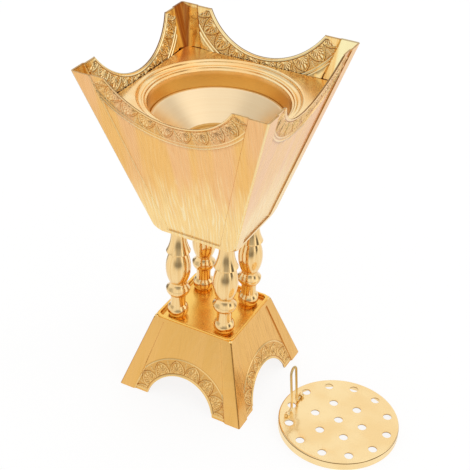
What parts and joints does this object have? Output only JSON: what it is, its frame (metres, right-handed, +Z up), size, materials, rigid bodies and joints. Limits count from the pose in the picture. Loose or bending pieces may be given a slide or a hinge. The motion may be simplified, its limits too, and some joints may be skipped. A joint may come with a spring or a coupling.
{
  "type": "mabkhara incense burner",
  "caption": "Square mabkhara: a horned, flared vessel on turned columns over an arched base, with lift-out tray and charcoal cup, and a pierced plate with a wire handle.",
  "frame": {"origin": "on the table, on the vertical axis of the burner", "axes": "+Z up, X and Y square to the burner's sides: -Y is the front panel and +X the right panel, where the pierced plate lies"},
  "size_m": [0.1702, 0.1046, 0.198],
  "materials": {
    "satin_gold": "gold-coloured pressed sheet with fine vertical wood-grain engraving, satin",
    "polished_gold": "gold-plated and polished",
    "tray_gold": "gold-anodised, polished pressing",
    "champagne": "pale champagne anodised, spun satin",
    "plate_gold": "gold-anodised, bright satin",
    "screw_steel": "zinc-plated"
  },
  "bodies": {
    "burner": {"vessel_panel_front": "satin_gold", "base_panel_front": "satin_gold", "vessel_panel_right": "satin_gold", "base_panel_right": "satin_gold", "vessel_panel_back": "satin_gold", "base_panel_back": "satin_gold", "vessel_panel_left": "satin_gold", "base_panel_left": "satin_gold", "vessel_floor": "satin_gold", "base_deck": "polished_gold", "column_front_left": "polished_gold", "column_front_right": "polished_gold", "column_back_right": "polished_gold", "column_back_left": "polished_gold", "upper_screws": "screw_steel", "upper_washers": "screw_steel", "lower_screws": "screw_steel", "lower_washers": "screw_steel"},
    "tray": {"tray_plate": "tray_gold"},
    "cup": {"charcoal_cup": "champagne"},
    "lid": {"pierced_plate": "plate_gold"},
    "handle": {"plate_handle": "polished_gold"}
  },
  "joints": [
    {"name": "tray_lift", "type": "slide", "parent": "burner", "child": "tray", "axis": [0, 0, 1], "range_m": [0, 0.06]},
    {"name": "cup_lift", "type": "slide", "parent": "tray", "child": "cup", "axis": [0, 0, 1], "range_m": [0, 0.06]},
    {"name": "plate_lift", "type": "slide", "parent": "burner", "child": "lid", "axis": [0, 0, 1], "range_m": [0, 0.2]},
    {"name": "handle_fold", "type": "hinge", "parent": "lid", "child": "handle", "pos_m": [0.0588, -0.0115, 0.0059], "axis": [0, 1, 0], "range_deg": [-55, 94]}
  ]
}
